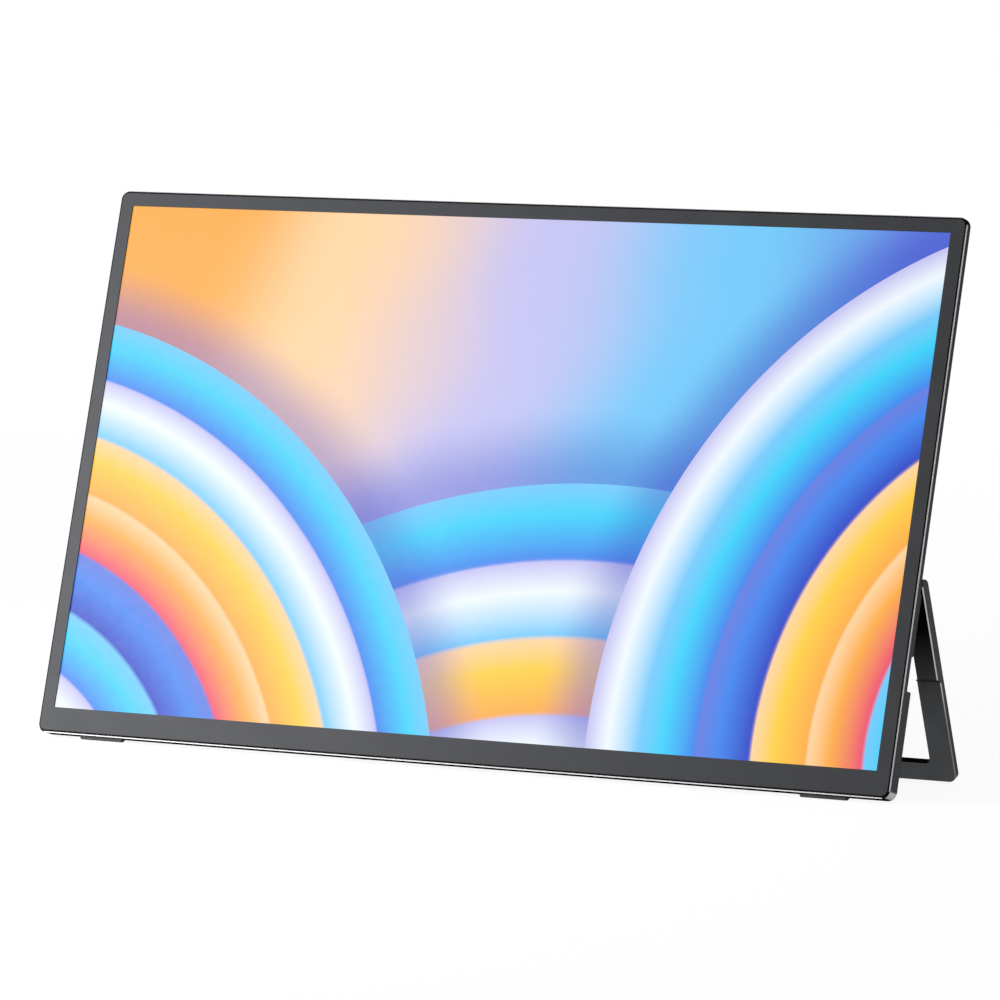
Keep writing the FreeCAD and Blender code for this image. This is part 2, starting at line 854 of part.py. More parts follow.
def bevelled_foot(foot, base_height):
    """A foot cut level with the floor, with its lower edge bevelled all round."""
    back_height = base_height - (foot_front + foot_width) * math.sin(math.radians(lean_angle))
    bevel = min(foot_bevel, back_height * foot_bevel_limit)
    sole = [edge for edge in foot.Edges if edge.BoundBox.ZMax < 1e-6]
    return foot.makeChamfer(bevel, sole)


def placed(pieces, offset, tilt):
    matrix = FreeCAD.Placement(offset, FreeCAD.Rotation(Vector(1, 0, 0), tilt)).toMatrix()
    return {name: shape.transformed(matrix, True) for name, shape in pieces.items()}


def build():
    base_height, hinge_y, hinge_z, slope = stance()
    parts = placed(display_pieces(), Vector(0, 0, base_height), -lean_angle)
    parts.update(placed(stand_pieces(), Vector(0, hinge_y, hinge_z), slope))
    floor = block(-2 * half_width, 2 * half_width, -body_height, body_height, -body_height, 0)
    for name in ("foot_left", "foot_right", "stand_strip"):
        parts[name] = parts[name].cut(floor)
    for name in ("foot_left", "foot_right"):
        parts[name] = bevelled_foot(parts[name], base_height)
    box = Part.makeCompound(list(parts.values())).optimalBoundingBox()
    shift = -(box.YMin + box.YMax) / 2
    os.makedirs("parts", exist_ok=True)
    for name, shape in parts.items():
        shape.translate(Vector(0, shift, 0))
        shape.exportStep(os.path.join("parts", name + ".step"))
    return base_height, hinge_y + shift, hinge_z, slope, shift, box


base_height, hinge_y, hinge_z, slope, shift, box = build()
print(f"base edge at y {shift:.4f} z {base_height:.4f}")
print(f"hinge axis at y {hinge_y:.4f} z {hinge_z:.4f}, stand slope {slope:.4f} degrees")
print(f"overall {box.XLength:.2f} x {box.YLength:.2f} x {box.ZLength:.2f}, low {box.ZMin:.4f}")
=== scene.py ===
import json
import math

import bmesh
import bpy
from mathutils import Matrix, Vector


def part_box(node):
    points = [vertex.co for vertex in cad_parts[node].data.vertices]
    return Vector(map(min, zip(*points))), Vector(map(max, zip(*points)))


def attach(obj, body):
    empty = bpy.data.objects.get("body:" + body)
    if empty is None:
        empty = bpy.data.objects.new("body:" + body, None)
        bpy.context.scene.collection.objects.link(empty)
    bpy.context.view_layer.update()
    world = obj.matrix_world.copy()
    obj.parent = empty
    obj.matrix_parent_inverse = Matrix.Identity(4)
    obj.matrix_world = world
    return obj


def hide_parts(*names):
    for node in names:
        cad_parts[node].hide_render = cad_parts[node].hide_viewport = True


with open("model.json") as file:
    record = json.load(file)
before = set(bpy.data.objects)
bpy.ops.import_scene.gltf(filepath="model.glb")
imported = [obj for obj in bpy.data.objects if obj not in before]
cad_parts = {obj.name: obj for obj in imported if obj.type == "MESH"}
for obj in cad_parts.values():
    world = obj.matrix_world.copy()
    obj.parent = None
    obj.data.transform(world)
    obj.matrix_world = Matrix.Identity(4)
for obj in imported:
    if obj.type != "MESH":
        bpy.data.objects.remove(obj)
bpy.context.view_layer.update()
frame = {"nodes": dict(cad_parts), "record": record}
nodes = frame["nodes"]
bpy.context.scene.view_settings.view_transform = "Standard"


# Backlight: a folded steel tray that holds the white reflector, the clear light guide,
# the diffusing films and the light strip. Sheet goods laid in the tray one on another.
patch_span = (0.3, 0.7)


def linear(red, green, blue):
    """A colour as a screen shows it, 0 to 255, as the light it stands for."""
    shade = []
    for level in (red, green, blue):
        part = level / 255
        shade.append(part / 12.92 if part <= 0.04045 else ((part + 0.055) / 1.055) ** 2.4)
    return (*shade, 1.0)


def start_finish(name, metallic=0.0):
    """A new material, its node tree and its shader."""
    finish = bpy.data.materials.new(name)
    finish.use_nodes = True
    shader = finish.node_tree.nodes["Principled BSDF"]
    shader.inputs["Metallic"].default_value = metallic
    return finish, finish.node_tree, shader


def piece_place(tree):
    """A place on the piece, in the frame of the whole part at rest."""
    return tree.nodes.new("ShaderNodeTexCoord").outputs["Object"]


def cloud(tree, place, size, detail=3.0):
    """Soft patches about so many metres across."""
    patches = tree.nodes.new("ShaderNodeTexNoise")
    patches.inputs["Scale"].default_value = 1 / size
    patches.inputs["Detail"].default_value = detail
    tree.links.new(place, patches.inputs["Vector"])
    return patches.outputs["Fac"]


def between(tree, amount, low, high, start=0.0, end=1.0):
    """A number that goes from low to high as an amount goes from start to end."""
    span = tree.nodes.new("ShaderNodeMapRange")
    span.interpolation_type = "SMOOTHSTEP"
    for socket, value in (("From Min", start), ("From Max", end), ("To Min", low), ("To Max", high)):
        span.inputs[socket].default_value = value
    tree.links.new(amount, span.inputs["Value"])
    return span.outputs["Result"]


def shades(tree, amount, stops, style="LINEAR"):
    """A colour ramp through stops of (place, colour)."""
    ramp = tree.nodes.new("ShaderNodeValToRGB")
    ramp.color_ramp.interpolation = style
    elements = ramp.color_ramp.elements
    while len(elements) < len(stops):
        elements.new(1.0)
    for element, (place, colour) in zip(elements, stops):
        element.position = place
        element.color = colour
    tree.links.new(amount, ramp.inputs["Fac"])
    return ramp.outputs["Color"]


def mottled(tree, patches, dark, light):
    """A colour that wanders from dark to light over soft patches."""
    low, high = patch_span
    return shades(tree, patches, [(low, dark), (high, light)])


def roughen(tree, shader, height, depth):
    """Fine relief of the given depth in metres."""
    relief = tree.nodes.new("ShaderNodeBump")
    relief.inputs["Strength"].default_value = 1.0
    relief.inputs["Distance"].default_value = depth
    tree.links.new(height, relief.inputs["Height"])
    tree.links.new(relief.outputs["Normal"], shader.inputs["Normal"])
    return relief


def grained(name, dark, light, rough, patch, grain, depth, metallic=0.0):
    """A finish with mottled colour, uneven gloss and a fine grain."""
    finish, tree, shader = start_finish(name, metallic)
    place = piece_place(tree)
    patches = cloud(tree, place, patch)
    tree.links.new(mottled(tree, patches, dark, light), shader.inputs["Base Color"])
    tree.links.new(between(tree, patches, *rough, *patch_span), shader.inputs["Roughness"])
    roughen(tree, shader, cloud(tree, place, grain), depth)
    return finish


def dress(finish, *names):
    """Gives the named nodes a finish."""
    for name in names:
        slots = nodes[name].data.materials
        slots.clear()
        slots.append(finish)


tray_steel = grained("tray_steel", linear(150, 152, 155), linear(172, 174, 176), rough=(0.32, 0.45),
                     patch=0.012, grain=0.0006, depth=0.00002, metallic=1.0)
dress(tray_steel, "panel_tray")
reflector_white = grained("reflector_white", linear(232, 232, 230), linear(244, 244, 242), rough=(0.3, 0.4),
                          patch=0.02, grain=0.0008, depth=0.00002)
dress(reflector_white, "reflector_sheet")
film_white = grained("film_white", linear(214, 218, 222), linear(228, 231, 234), rough=(0.45, 0.6),
                     patch=0.02, grain=0.0002, depth=0.00001)
dress(film_white, "optical_films")
guide_acrylic = grained("guide_acrylic", linear(205, 216, 219), linear(222, 231, 233), rough=(0.06, 0.12),
                        patch=0.03, grain=0.0004, depth=0.00001)
guide_shader = guide_acrylic.node_tree.nodes["Principled BSDF"]
guide_shader.inputs["Transmission Weight"].default_value = 0.8
guide_shader.inputs["IOR"].default_value = 1.49
dress(guide_acrylic, "light_guide")
strip_white = grained("strip_white", linear(226, 222, 196), linear(240, 236, 214), rough=(0.35, 0.5),
                      patch=0.003, grain=0.0005, depth=0.00003)
dress(strip_white, "led_strip")


# Picture panel: glass with a matt front film, glued behind the bezel and lit from behind.
# It shows a plain design of overlapping rings on a soft sky, made for this part.
lean = math.radians(18)
leaning = Matrix.Rotation(-lean, 3, "X")
fold = next(joint for joint in frame["record"]["behaviour"]["joints"] if joint["name"] == "stand_fold")
hinge_above_edge = Vector((0, 0.0074, 0.0913))
bottom_edge = Vector(fold["pos_m"]) - leaning @ hinge_above_edge
picture_low = 0.0115
picture_width = 0.4098


def upright_place(tree):
    """Place on the display as if it stood upright, from the middle of its bottom edge."""
    turn = tree.nodes.new("ShaderNodeMapping")
    turn.inputs["Rotation"].default_value = (lean, 0, 0)
    turn.inputs["Location"].default_value = -(leaning.inverted() @ bottom_edge)
    tree.links.new(piece_place(tree), turn.inputs["Vector"])
    return turn.outputs["Vector"]


def axes_of(tree, vector):
    """The three parts of a place or a direction, by the names X, Y and Z."""
    parts = tree.nodes.new("ShaderNodeSeparateXYZ")
    tree.links.new(vector, parts.inputs["Vector"])
    return parts.outputs


def sums(tree, kind, first, second=0):
    """One sum on two values, each a socket or a number."""
    work = tree.nodes.new("ShaderNodeMath")
    work.operation = kind
    for socket, value in zip(work.inputs, (first, second)):
        if isinstance(value, (int, float)):
            socket.default_value = value
        else:
            tree.links.new(value, socket)
    return work.outputs["Value"]


def product(tree, first, second):
    return sums(tree, "MULTIPLY", first, second)


def slant_length(tree, side, rise):
    """The straight distance over a step to the side and a step up."""
    square = sums(tree, "ADD", product(tree, side, side), product(tree, rise, rise))
    return sums(tree, "SQRT", square)


def mixed(tree, amount, under, over):
    """Two colours blended by an amount."""
    mix = tree.nodes.new("ShaderNodeMix")
    mix.data_type = "RGBA"
    tree.links.new(amount, mix.inputs["Factor"])
    for socket, colour in ((mix.inputs["A"], under), (mix.inputs["B"], over)):
        if isinstance(colour, tuple):
            socket.default_value = colour
        else:
            tree.links.new(colour, socket)
    return mix.outputs["Result"]


sky = linear(112, 200, 248)
cyan = linear(48, 208, 248)
blue = linear(56, 132, 236)
deep_blue = linear(34, 62, 196)
periwinkle = linear(98, 122, 222)
lavender = linear(196, 194, 240)
pearl = linear(238, 246, 252)
peach = linear(255, 212, 160)
amber = linear(250, 172, 66)
gold = linear(255, 206, 60)
rose = linear(236, 74, 110)
cool_band = (blue, cyan, sky)
dark_band = (deep_blue, blue, periwinkle)
pale_band = (sky, pearl, lavender)
warm_band = (amber, gold, peach)
red_band = (rose, amber, peach)
band_parts = (0.02, 0.6, 0.98)
ring_shade = 0.5
ring_shade_end = 1.12


def ring_set(tree, across, up, under, centre, reach, bands):
    """A disc of coloured rings laid on the picture, with a soft shade round it."""
    side = sums(tree, "SUBTRACT", across, centre[0])
    rise = sums(tree, "SUBTRACT", up, centre[1])
    share = sums(tree, "DIVIDE", slant_length(tree, side, rise), reach)
    stops = []
    for index, band in enumerate(bands):
        for part, colour in zip(band_parts, band):
            stops.append(((index + part) / len(bands), colour))
    rings = shades(tree, share, stops)
    shade = between(tree, share, ring_shade, 0.0, 1.0, ring_shade_end)
    shaded = mixed(tree, shade, under, deep_blue)
    inside = sums(tree, "LESS_THAN", share, 1.0)
    return mixed(tree, inside, shaded, rings)


sky_stops = [(0.0, amber), (0.2, peach), (0.42, lavender), (0.66, sky), (0.86, periwinkle)]
sky_slope = -0.35
haze_size = 0.12
haze_share = 0.16
middle_rings = [cool_band] * 4 + [dark_band, pale_band, warm_band, pale_band, cool_band]
right_rings = [cool_band] * 4 + [red_band, warm_band, dark_band, cool_band, pale_band]
left_rings = [cool_band, dark_band, cool_band, pale_band, cool_band, dark_band, red_band, warm_band,
              pale_band, cool_band]
glass_dark = linear(10, 11, 13)
glass_light = linear(14, 15, 17)
glass_patch = 0.05
film_rough = (0.42, 0.5)
film_patch = 0.004
film_grain = 0.0002
film_relief = 0.000004
screen, tree, shader = start_finish("screen")
place = upright_place(tree)
spot = axes_of(tree, place)
across = sums(tree, "DIVIDE", spot["X"], picture_width)
up = sums(tree, "DIVIDE", sums(tree, "SUBTRACT", spot["Z"], picture_low), picture_width)
from_left = sums(tree, "ADD", across, 0.5)
slant = sums(tree, "ADD", from_left, product(tree, up, sky_slope))
haze = product(tree, cloud(tree, place, haze_size, detail=1.0), haze_share)
design = shades(tree, sums(tree, "ADD", slant, haze), sky_stops, style="EASE")
design = ring_set(tree, across, up, design, centre=(0.14, -0.46), reach=0.74, bands=middle_rings)
design = ring_set(tree, across, up, design, centre=(0.74, 0.02), reach=0.58, bands=right_rings)
design = ring_set(tree, across, up, design, centre=(-0.62, -0.18), reach=0.62, bands=left_rings)
tree.links.new(design, shader.inputs["Emission Color"])
shader.inputs["Emission Strength"].default_value = 1.0
glass = mottled(tree, cloud(tree, place, glass_patch), glass_dark, glass_light)
tree.links.new(glass, shader.inputs["Base Color"])
tree.links.new(between(tree, cloud(tree, place, film_patch), *film_rough), shader.inputs["Roughness"])
shader.inputs["Specular IOR Level"].default_value = 0.12
roughen(tree, shader, cloud(tree, place, film_grain), film_relief)
dress(screen, "lcd_panel")


# Panel driver board with its flat leads: etched green board under the lower border,
# a flexible tail from the glass and a flat ribbon to the main board.
board_green = grained("board_green", linear(18, 62, 44), linear(30, 82, 58), rough=(0.28, 0.42),
                      patch=0.002, grain=0.0009, depth=0.00004)
dress(board_green, "driver_board")
lead_film = grained("lead_film", linear(150, 96, 34), linear(176, 118, 48), rough=(0.22, 0.34),
                    patch=0.004, grain=0.0006, depth=0.00001)
dress(lead_film, "display_ribbon", "panel_flex")


# Frame round the panel: milled metal, dark anodised on its outer wall, with a bevel
# along the front edge that is cut afterwards and left polished.
def larger(tree, first, second):
    return sums(tree, "MAXIMUM", first, second)


def opposite(tree, amount):
    return product(tree, amount, -1.0)


def rest_of(tree, share):
    """What a share leaves of the whole."""
    return sums(tree, "SUBTRACT", 1.0, share)


def rising(tree, amount, span):
    """0 before a span of the amount, 1 after it, and a soft step between."""
    return between(tree, amount, 0.0, 1.0, *span)


def falling(tree, amount, span):
    """1 before a span of the amount, 0 after it, and a soft step between."""
    return between(tree, amount, 1.0, 0.0, *span)


def piece_normal(tree, tilt):
    """The way each face points, with the piece turned upright about its width."""
    turn = tree.nodes.new("ShaderNodeVectorRotate")
    turn.rotation_type = "X_AXIS"
    turn.inputs["Angle"].default_value = tilt
    tree.links.new(tree.nodes.new("ShaderNodeTexCoord").outputs["Normal"], turn.inputs["Vector"])
    return axes_of(tree, turn.outputs["Vector"])


bevel_shade = linear(226, 226, 225)
corner_highlight_grey = linear(186, 186, 185)
# Near-black painted shade, for undersides, upper corners, bevel corners and the stand's bar top and hinge
# end.
painted_shade_black = linear(6, 6, 7)
skin_edge_shade = (0.3, 0.3, 0.3, 1.0)
skin_sheen = 0.75
satin_share = 0.9
skin_rough = 0.46
polish_rough = 0.24
skin_grain = 0.00025
skin_relief = 0.000008
faces_front = (0.3, 0.5)
faces_side = (0.35, 0.6)
faces_down = (0.08, 0.3)
faces_flat_down = (0.86, 0.97)
faces_down_front = (0.3, 0.6)
corner_start = (0.04, 0.16)
upper_corner_start = (0.08, 0.3)


def skinned_metal(name, dark, light, patch, corner_shade_depth):
    """Dark anodised metal with a polished front bevel; painted highlight on the lower corners and painted
    shade on the upper corners, underside and bevel corners.
    """
    finish, tree, shader = start_finish(name)
    shader.inputs["Specular IOR Level"].default_value = 0.0
    shader.inputs["Specular Tint"].default_value = skin_edge_shade
    place = piece_place(tree)
    facing = piece_normal(tree, lean)
    aside = sums(tree, "ABSOLUTE", facing["X"])
    below = opposite(tree, facing["Z"])
    bevel = rising(tree, opposite(tree, facing["Y"]), faces_front)
    corner = product(tree, aside, sums(tree, "ABSOLUTE", facing["Z"]))
    edge_bevel = product(tree, bevel, falling(tree, corner, corner_start))
    # Painted highlight: the lower corners get a light grey colour for the shine on them, as well as a real
    # polish.
    lower_corner = product(tree, rising(tree, aside, faces_side), rising(tree, below, faces_down))
    corner_highlight = product(tree, lower_corner, rest_of(tree, bevel))
    # Painted shade: the upper corners are darkened, and the flat underside and the corners of the bevel are
    # painted near-black.
    above_aside = product(tree, aside, facing["Z"])
    upper_corner_shade = between(tree, above_aside, 0.0, corner_shade_depth, *upper_corner_start)
    underneath = rising(tree, below, faces_flat_down)
    black = larger(tree, upper_corner_shade, larger(tree, underneath, bevel))
    skin = mottled(tree, cloud(tree, place, patch), dark, light)
    skin = mixed(tree, black, skin, painted_shade_black)
    skin = mixed(tree, corner_highlight, skin, corner_highlight_grey)
    tree.links.new(mixed(tree, edge_bevel, skin, bevel_shade), shader.inputs["Base Color"])
    polish = larger(tree, edge_bevel, corner_highlight)
    dulled = product(tree, underneath, rest_of(tree, polish))
    lower_bevel = product(tree, edge_bevel, rising(tree, below, faces_down_front))
    matt = sums(tree, "ADD", product(tree, dulled, skin_sheen), product(tree, lower_bevel, satin_share))
    sheen = sums(tree, "SUBTRACT", between(tree, polish, skin_sheen, 1.0), matt)
    tree.links.new(sheen, shader.inputs["Metallic"])
    tree.links.new(between(tree, polish, skin_rough, polish_rough), shader.inputs["Roughness"])
    relief = roughen(tree, shader, cloud(tree, place, skin_grain), skin_relief)
    tree.links.new(rest_of(tree, polish), relief.inputs["Strength"])
    return finish


frame_metal = skinned_metal("frame_metal", linear(75, 76, 77), linear(81, 82, 83), patch=0.01,
                            corner_shade_depth=0.65)
dress(frame_metal, "mid_frame")


# Bezel: thin moulded border glued on the panel with black tape. Fine matt texture,
# with a rounded rim that drops to the bevel of the frame; the rim is painted near-black as shade.
bezel_dark = linear(40, 41, 44)
bezel_light = linear(45, 46, 49)
bezel_rough = (0.46, 0.52)
bezel_patch = 0.02
bezel_grain = 0.0003
bezel_relief = 0.000008
bezel_half = 0.2116
bezel_bottom = 0.0004
bezel_top = 0.2485
bezel_corner = 0.0036
rim_shade_black = linear(8, 8, 9)
rim_span = (0.0006, 0.0009)
rim_thinner = 0.00025
bezel_grey, tree, shader = start_finish("bezel_grey")
place = piece_place(tree)
spot = axes_of(tree, upright_place(tree))
from_left = sums(tree, "ADD", spot["X"], bezel_half)
from_right = sums(tree, "SUBTRACT", bezel_half + rim_thinner, spot["X"])
from_side = sums(tree, "MINIMUM", from_left, from_right)
from_bottom = sums(tree, "SUBTRACT", spot["Z"], bezel_bottom)
from_top = sums(tree, "SUBTRACT", bezel_top, spot["Z"])
from_end = sums(tree, "MINIMUM", from_bottom, from_top)
side_turn = larger(tree, sums(tree, "SUBTRACT", bezel_corner, from_side), 0.0)
end_turn = larger(tree, sums(tree, "SUBTRACT", bezel_corner, from_end), 0.0)
from_edge = sums(tree, "SUBTRACT", bezel_corner, slant_length(tree, side_turn, end_turn))
# Painted shade: a strip about a millimetre wide round the outer edge is painted near-black.
rim = falling(tree, from_edge, rim_span)
patches = cloud(tree, place, bezel_patch)
face = mottled(tree, patches, bezel_dark, bezel_light)
tree.links.new(mixed(tree, rim, face, rim_shade_black), shader.inputs["Base Color"])
matt = between(tree, patches, *bezel_rough, *patch_span)
tree.links.new(larger(tree, matt, rim), shader.inputs["Roughness"])
shader.inputs["Specular IOR Level"].default_value = 0.1
roughen(tree, shader, cloud(tree, place, bezel_grain), bezel_relief)
dress(bezel_grey, "front_bezel")
tape_black = grained("tape_black", linear(16, 16, 17), linear(24, 24, 25), rough=(0.55, 0.7),
                     patch=0.003, grain=0.0004, depth=0.00002)
dress(tape_black, "bezel_tape")


# Main board: etched green board on four bosses in the lower housing, with a display
# chip, power coils, a lead connector and the switches that the buttons press.
dress(board_green, "main_board")
chip_black = grained("chip_black", linear(22, 22, 24), linear(32, 32, 34), rough=(0.42, 0.56),
                     patch=0.002, grain=0.0003, depth=0.00002)
dress(chip_black, "board_parts", "button_switches")
screw_steel = grained("screw_steel", linear(88, 89, 92), linear(108, 109, 112), rough=(0.26, 0.38),
                      patch=0.0012, grain=0.0003, depth=0.00001, metallic=1.0)
dress(screw_steel, "board_screws")


# Sockets in the left side: folded steel shells soldered to the board, each with a
# black moulded tongue inside.
socket_steel = grained("socket_steel", linear(168, 169, 170), linear(192, 193, 194), rough=(0.2, 0.32),
                       patch=0.002, grain=0.0004, depth=0.000008, metallic=1.0)
dress(socket_steel, "usb_c_port_1", "usb_c_port_2", "mini_hdmi_port")
dress(chip_black, "port_tongues")


# Contacts: gold-plated strips on both faces of each tongue, stamped with a sloped front
# end and pressed into the moulding. Shapes from here to the buttons are in millimetres.
millimetre = 0.001


def on_display(across, depth, height):
    """A place on the leaning display: across it, back from its face, up from its bottom edge."""
    upright = Vector((across, depth, height)) * millimetre
    return bottom_edge + leaning @ upright


def set_on_display(name, mesh, places, finish, body="display"):
    """Copies of one small part, set on the display at places of (across, depth, height)."""
    whole = bmesh.new()
    single = bpy.data.meshes.new(name + "_one")
    bmesh.ops.recalc_face_normals(mesh, faces=mesh.faces)
    mesh.to_mesh(single)
    mesh.free()
    for place in places:
        first = len(whole.verts)
        whole.from_mesh(single)
        whole.verts.ensure_lookup_table()
        for point in whole.verts[first:]:
            point.co = on_display(*(Vector(place) + point.co))
    bpy.data.meshes.remove(single)
    made = bpy.data.meshes.new(name)
    whole.to_mesh(made)
    whole.free()
    made.materials.append(finish)
    piece = bpy.data.objects.new(name, made)
    bpy.context.scene.collection.objects.link(piece)
    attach(piece, body)
    return piece


def join_rings(mesh, ring, following):
    """Faces between two rings of points, all the way round."""
    for step in range(len(ring)):
        mesh.faces.new((ring[step - 1], ring[step], following[step], following[step - 1]))


def spread(count, pitch):
    """So many places in a row, at a pitch, to both sides of nought."""
    return [(index - (count - 1) / 2) * pitch for index in range(count)]


contact_gold = grained("contact_gold", linear(196, 158, 74), linear(222, 186, 102), rough=(0.16, 0.26),
                       patch=0.0006, grain=0.0002, depth=0.000004, metallic=1.0)
wide_socket = {"middle": 11.335, "width": 11.2, "chamfered": True, "contacts": 10, "pitch": 0.8}
lower_socket = {"middle": 24.276, "width": 8.94, "chamfered": False, "contacts": 12, "pitch": 0.5}
upper_socket = {"middle": 36.087, "width": 8.94, "chamfered": False, "contacts": 12, "pitch": 0.5}
sockets = (wide_socket, lower_socket, upper_socket)
tongue_middle = 4.88
tongue_half = 0.35
tongue_front = -209.9
contact_inset = 0.2
contact_proud = 0.04
contact_sunk = 0.06
contact_length = 3.8
contact_slope = 0.5
contact_half = 0.14
contact_outline = [(0.0, -contact_sunk), (contact_slope, contact_proud), (contact_length, contact_proud),
                   (contact_length, -contact_sunk)]
for face, side in (("front", -1), ("back", 1)):
    strip = bmesh.new()
    ends = []
    for height in (-contact_half, contact_half):
        ends.append([strip.verts.new((along, side * out, height)) for along, out in contact_outline])
    for end in ends:
        strip.faces.new(end)
    join_rings(strip, *ends)
    contact_places = []
    for socket in sockets:
        for offset in spread(socket["contacts"], socket["pitch"]):
            contact_places.append((tongue_front + contact_inset, tongue_middle + side * tongue_half,
                                   socket["middle"] + offset))
    set_on_display(f"socket_contacts_{face}", strip, contact_places, contact_gold)


# Speakers: moulded black boxes held in the lower housing, behind the slots of the back.
# A flat lead runs along the top of each one to the main board.
speaker_black = grained("speaker_black", linear(26, 26, 28), linear(36, 36, 38), rough=(0.48, 0.62),
                        patch=0.004, grain=0.0004, depth=0.00003)
dress(speaker_black, "speaker_left", "speaker_right")
dress(lead_film, "speaker_lead_left", "speaker_lead_right")


# Dust mesh: a strip of woven black cloth behind each row of slots, glued to the inside of
# the back. The threads pass over and under one another.
mesh_black = grained("mesh_black", linear(58, 58, 60), linear(76, 76, 78), rough=(0.5, 0.65),
                     patch=0.001, grain=0.0001, depth=0.00001)
thread_pitch = 0.75
thread_half = 0.24
thread_thin = 0.014
thread_wave = 0.02
thread_corners = ((-1, -1), (1, -1), (1, 1), (-1, 1))
threads_across = 48
threads_up = 15
mesh_depth = 6.55
mesh_height = 30.0
mesh_across = 82.0
weave = bmesh.new()


def lay_thread(length, place, phase, crosswise):
    """One flat thread of the cloth, rising and falling once every two crossings."""
    before = None
    for step, along in enumerate(spread(length, thread_pitch)):
        lift = thread_wave if (step + phase + crosswise) % 2 else -thread_wave
        ring = []
        for side, face in thread_corners:
            aside = place + side * thread_half
            depth = lift + face * thread_thin
            ring.append(weave.verts.new((along, depth, aside) if crosswise else (aside, depth, along)))
        if before:
            join_rings(weave, before, ring)
        else:
            weave.faces.new(ring)
        before = ring
    weave.faces.new(before)


for index, place in enumerate(spread(threads_up, thread_pitch)):
    lay_thread(threads_across, place, index, crosswise=True)
for index, place in enumerate(spread(threads_across, thread_pitch)):
    lay_thread(threads_up, place, index, crosswise=False)
mesh_places = [(side * mesh_across, mesh_depth, mesh_height) for side in (-1, 1)]
set_on_display("speaker_dust_mesh", weave, mesh_places, mesh_black)


# Rear cover: pressed and milled metal, bead blasted and anodised dark grey, with the
# thick lower housing and the seats for the folded legs. Screwed to the frame.
cover_metal = skinned_metal("cover_metal", linear(76, 77, 79), linear(80, 81, 83), patch=0.006,
                            corner_shade_depth=0.2)
dress(cover_metal, "rear_cover")


# Socket surrounds: thin metal rings pressed into the openings of the left wall, so that each
# opening follows the outline of its socket. Finished with the cover.
wall_face = -211.99
surround_back = -211.0
surround_bevel = 0.12
surround_edge = 0.02
opening_front = 3.21
opening_back = 6.6
opening_play = 0.14
socket_front = 3.3
socket_back = 6.46
socket_clear = 0.03
round_steps = 12
chamfer_reach = 0.9


def socket_outline(low, high, chamfered, grow):
    """Points of (depth, height) round a socket's shell, a little outside it."""
    front, back = socket_front - grow, socket_back + grow
    low, high = low - grow, high + grow
    if chamfered:
        return [(front, low), (back - chamfer_reach, low), (back, low + chamfer_reach),
                (back, high - chamfer_reach), (back - chamfer_reach, high), (front, high)]
    radius = (back - front) / 2
    middle = (front + back) / 2
    points = []
    for centre, start in ((low + radius, math.pi), (high - radius, 0.0)):
        for step in range(round_steps + 1):
            angle = start + math.pi * step / round_steps
            points.append((middle + radius * math.cos(angle), centre + radius * math.sin(angle)))
    return points


def held_in(value, low, high):
    """A value moved just inside two limits."""
    return min(max(value, low + surround_edge), high - surround_edge)


def ring_edges(mesh, ring):
    return [mesh.edges.get((ring[step - 1], ring[step])) for step in range(len(ring))]


surrounds = bmesh.new()
for socket in sockets:
    low = socket["middle"] - socket["width"] / 2
    high = socket["middle"] + socket["width"] / 2
    opening_low, opening_high = low - opening_play, high + opening_play
    outer = [(opening_front, opening_low), (opening_back, opening_low), (opening_back, opening_high),
             (opening_front, opening_high)]
    mouth = []
    for depth, height in socket_outline(low, high, socket["chamfered"], socket_clear + surround_bevel):
        mouth.append((held_in(depth, opening_front, opening_back),
                      held_in(height, opening_low, opening_high)))
    throat = socket_outline(low, high, socket["chamfered"], socket_clear)
    edge = [surrounds.verts.new((wall_face, *place)) for place in outer]
    edge_end = [surrounds.verts.new((surround_back, *place)) for place in outer]
    lip = [surrounds.verts.new((wall_face, *place)) for place in mouth]
    bore = [surrounds.verts.new((wall_face + surround_bevel, *place)) for place in throat]
    bore_end = [surrounds.verts.new((surround_back, *place)) for place in throat]
    for ring, following in ((lip, bore), (bore, bore_end), (edge, edge_end)):
        join_rings(surrounds, ring, following)
    for outside, inside in ((edge, lip), (edge_end, bore_end)):
        rims = ring_edges(surrounds, outside) + ring_edges(surrounds, inside)
        bmesh.ops.triangle_fill(surrounds, use_beauty=True, edges=rims)
set_on_display("socket_surrounds", surrounds, [(0.0, 0.0, 0.0)], cover_metal)


# Cover screws: eight small steel screws with flat heads and a cross slot, sunk just under
# the back along the top edge and up both sides above the hinges.
def turned_rings(mesh, outline, sides):
    """Rings of points turned about the y axis from an outline of (radius, depth)."""
    rings = []
    for radius, depth in outline:
        ring = []
        for step in range(sides):
            angle = 2 * math.pi * step / sides
            ring.append(mesh.verts.new((radius * math.cos(angle), depth, radius * math.sin(angle))))
        rings.append(ring)
    for ring, following in zip(rings, rings[1:]):
        join_rings(mesh, ring, following)
    return rings


screw_sides = 32
cross_arm = 0.62
cross_half = 0.16
cross_depth = 0.26
head_top = 0.45
head_seat = 3.75
screw_outline = [(0.45, -2.15), (0.7, -1.9), (0.7, 0.0), (1.28, 0.0), (1.4, 0.1), (1.4, 0.36),
                 (1.3, head_top)]
screw_top = 246.5
screw_columns = (60.0, 180.0)
screw_side = 209.6
screw_rows = (143.033, 194.767)
screw = bmesh.new()
rings = turned_rings(screw, screw_outline, screw_sides)
screw.faces.new(rings[0])
cross_outline = []
for along, aside in ((1, 0), (0, 1), (-1, 0), (0, -1)):
    forward = Vector((along, 0, aside))
    beside = Vector((-aside, 0, along))
    cross_outline.append(forward * cross_arm - beside * cross_half)
    cross_outline.append(forward * cross_arm + beside * cross_half)
    cross_outline.append(forward * cross_half + beside * cross_half)
upper = [screw.verts.new((place.x, head_top, place.z)) for place in cross_outline]
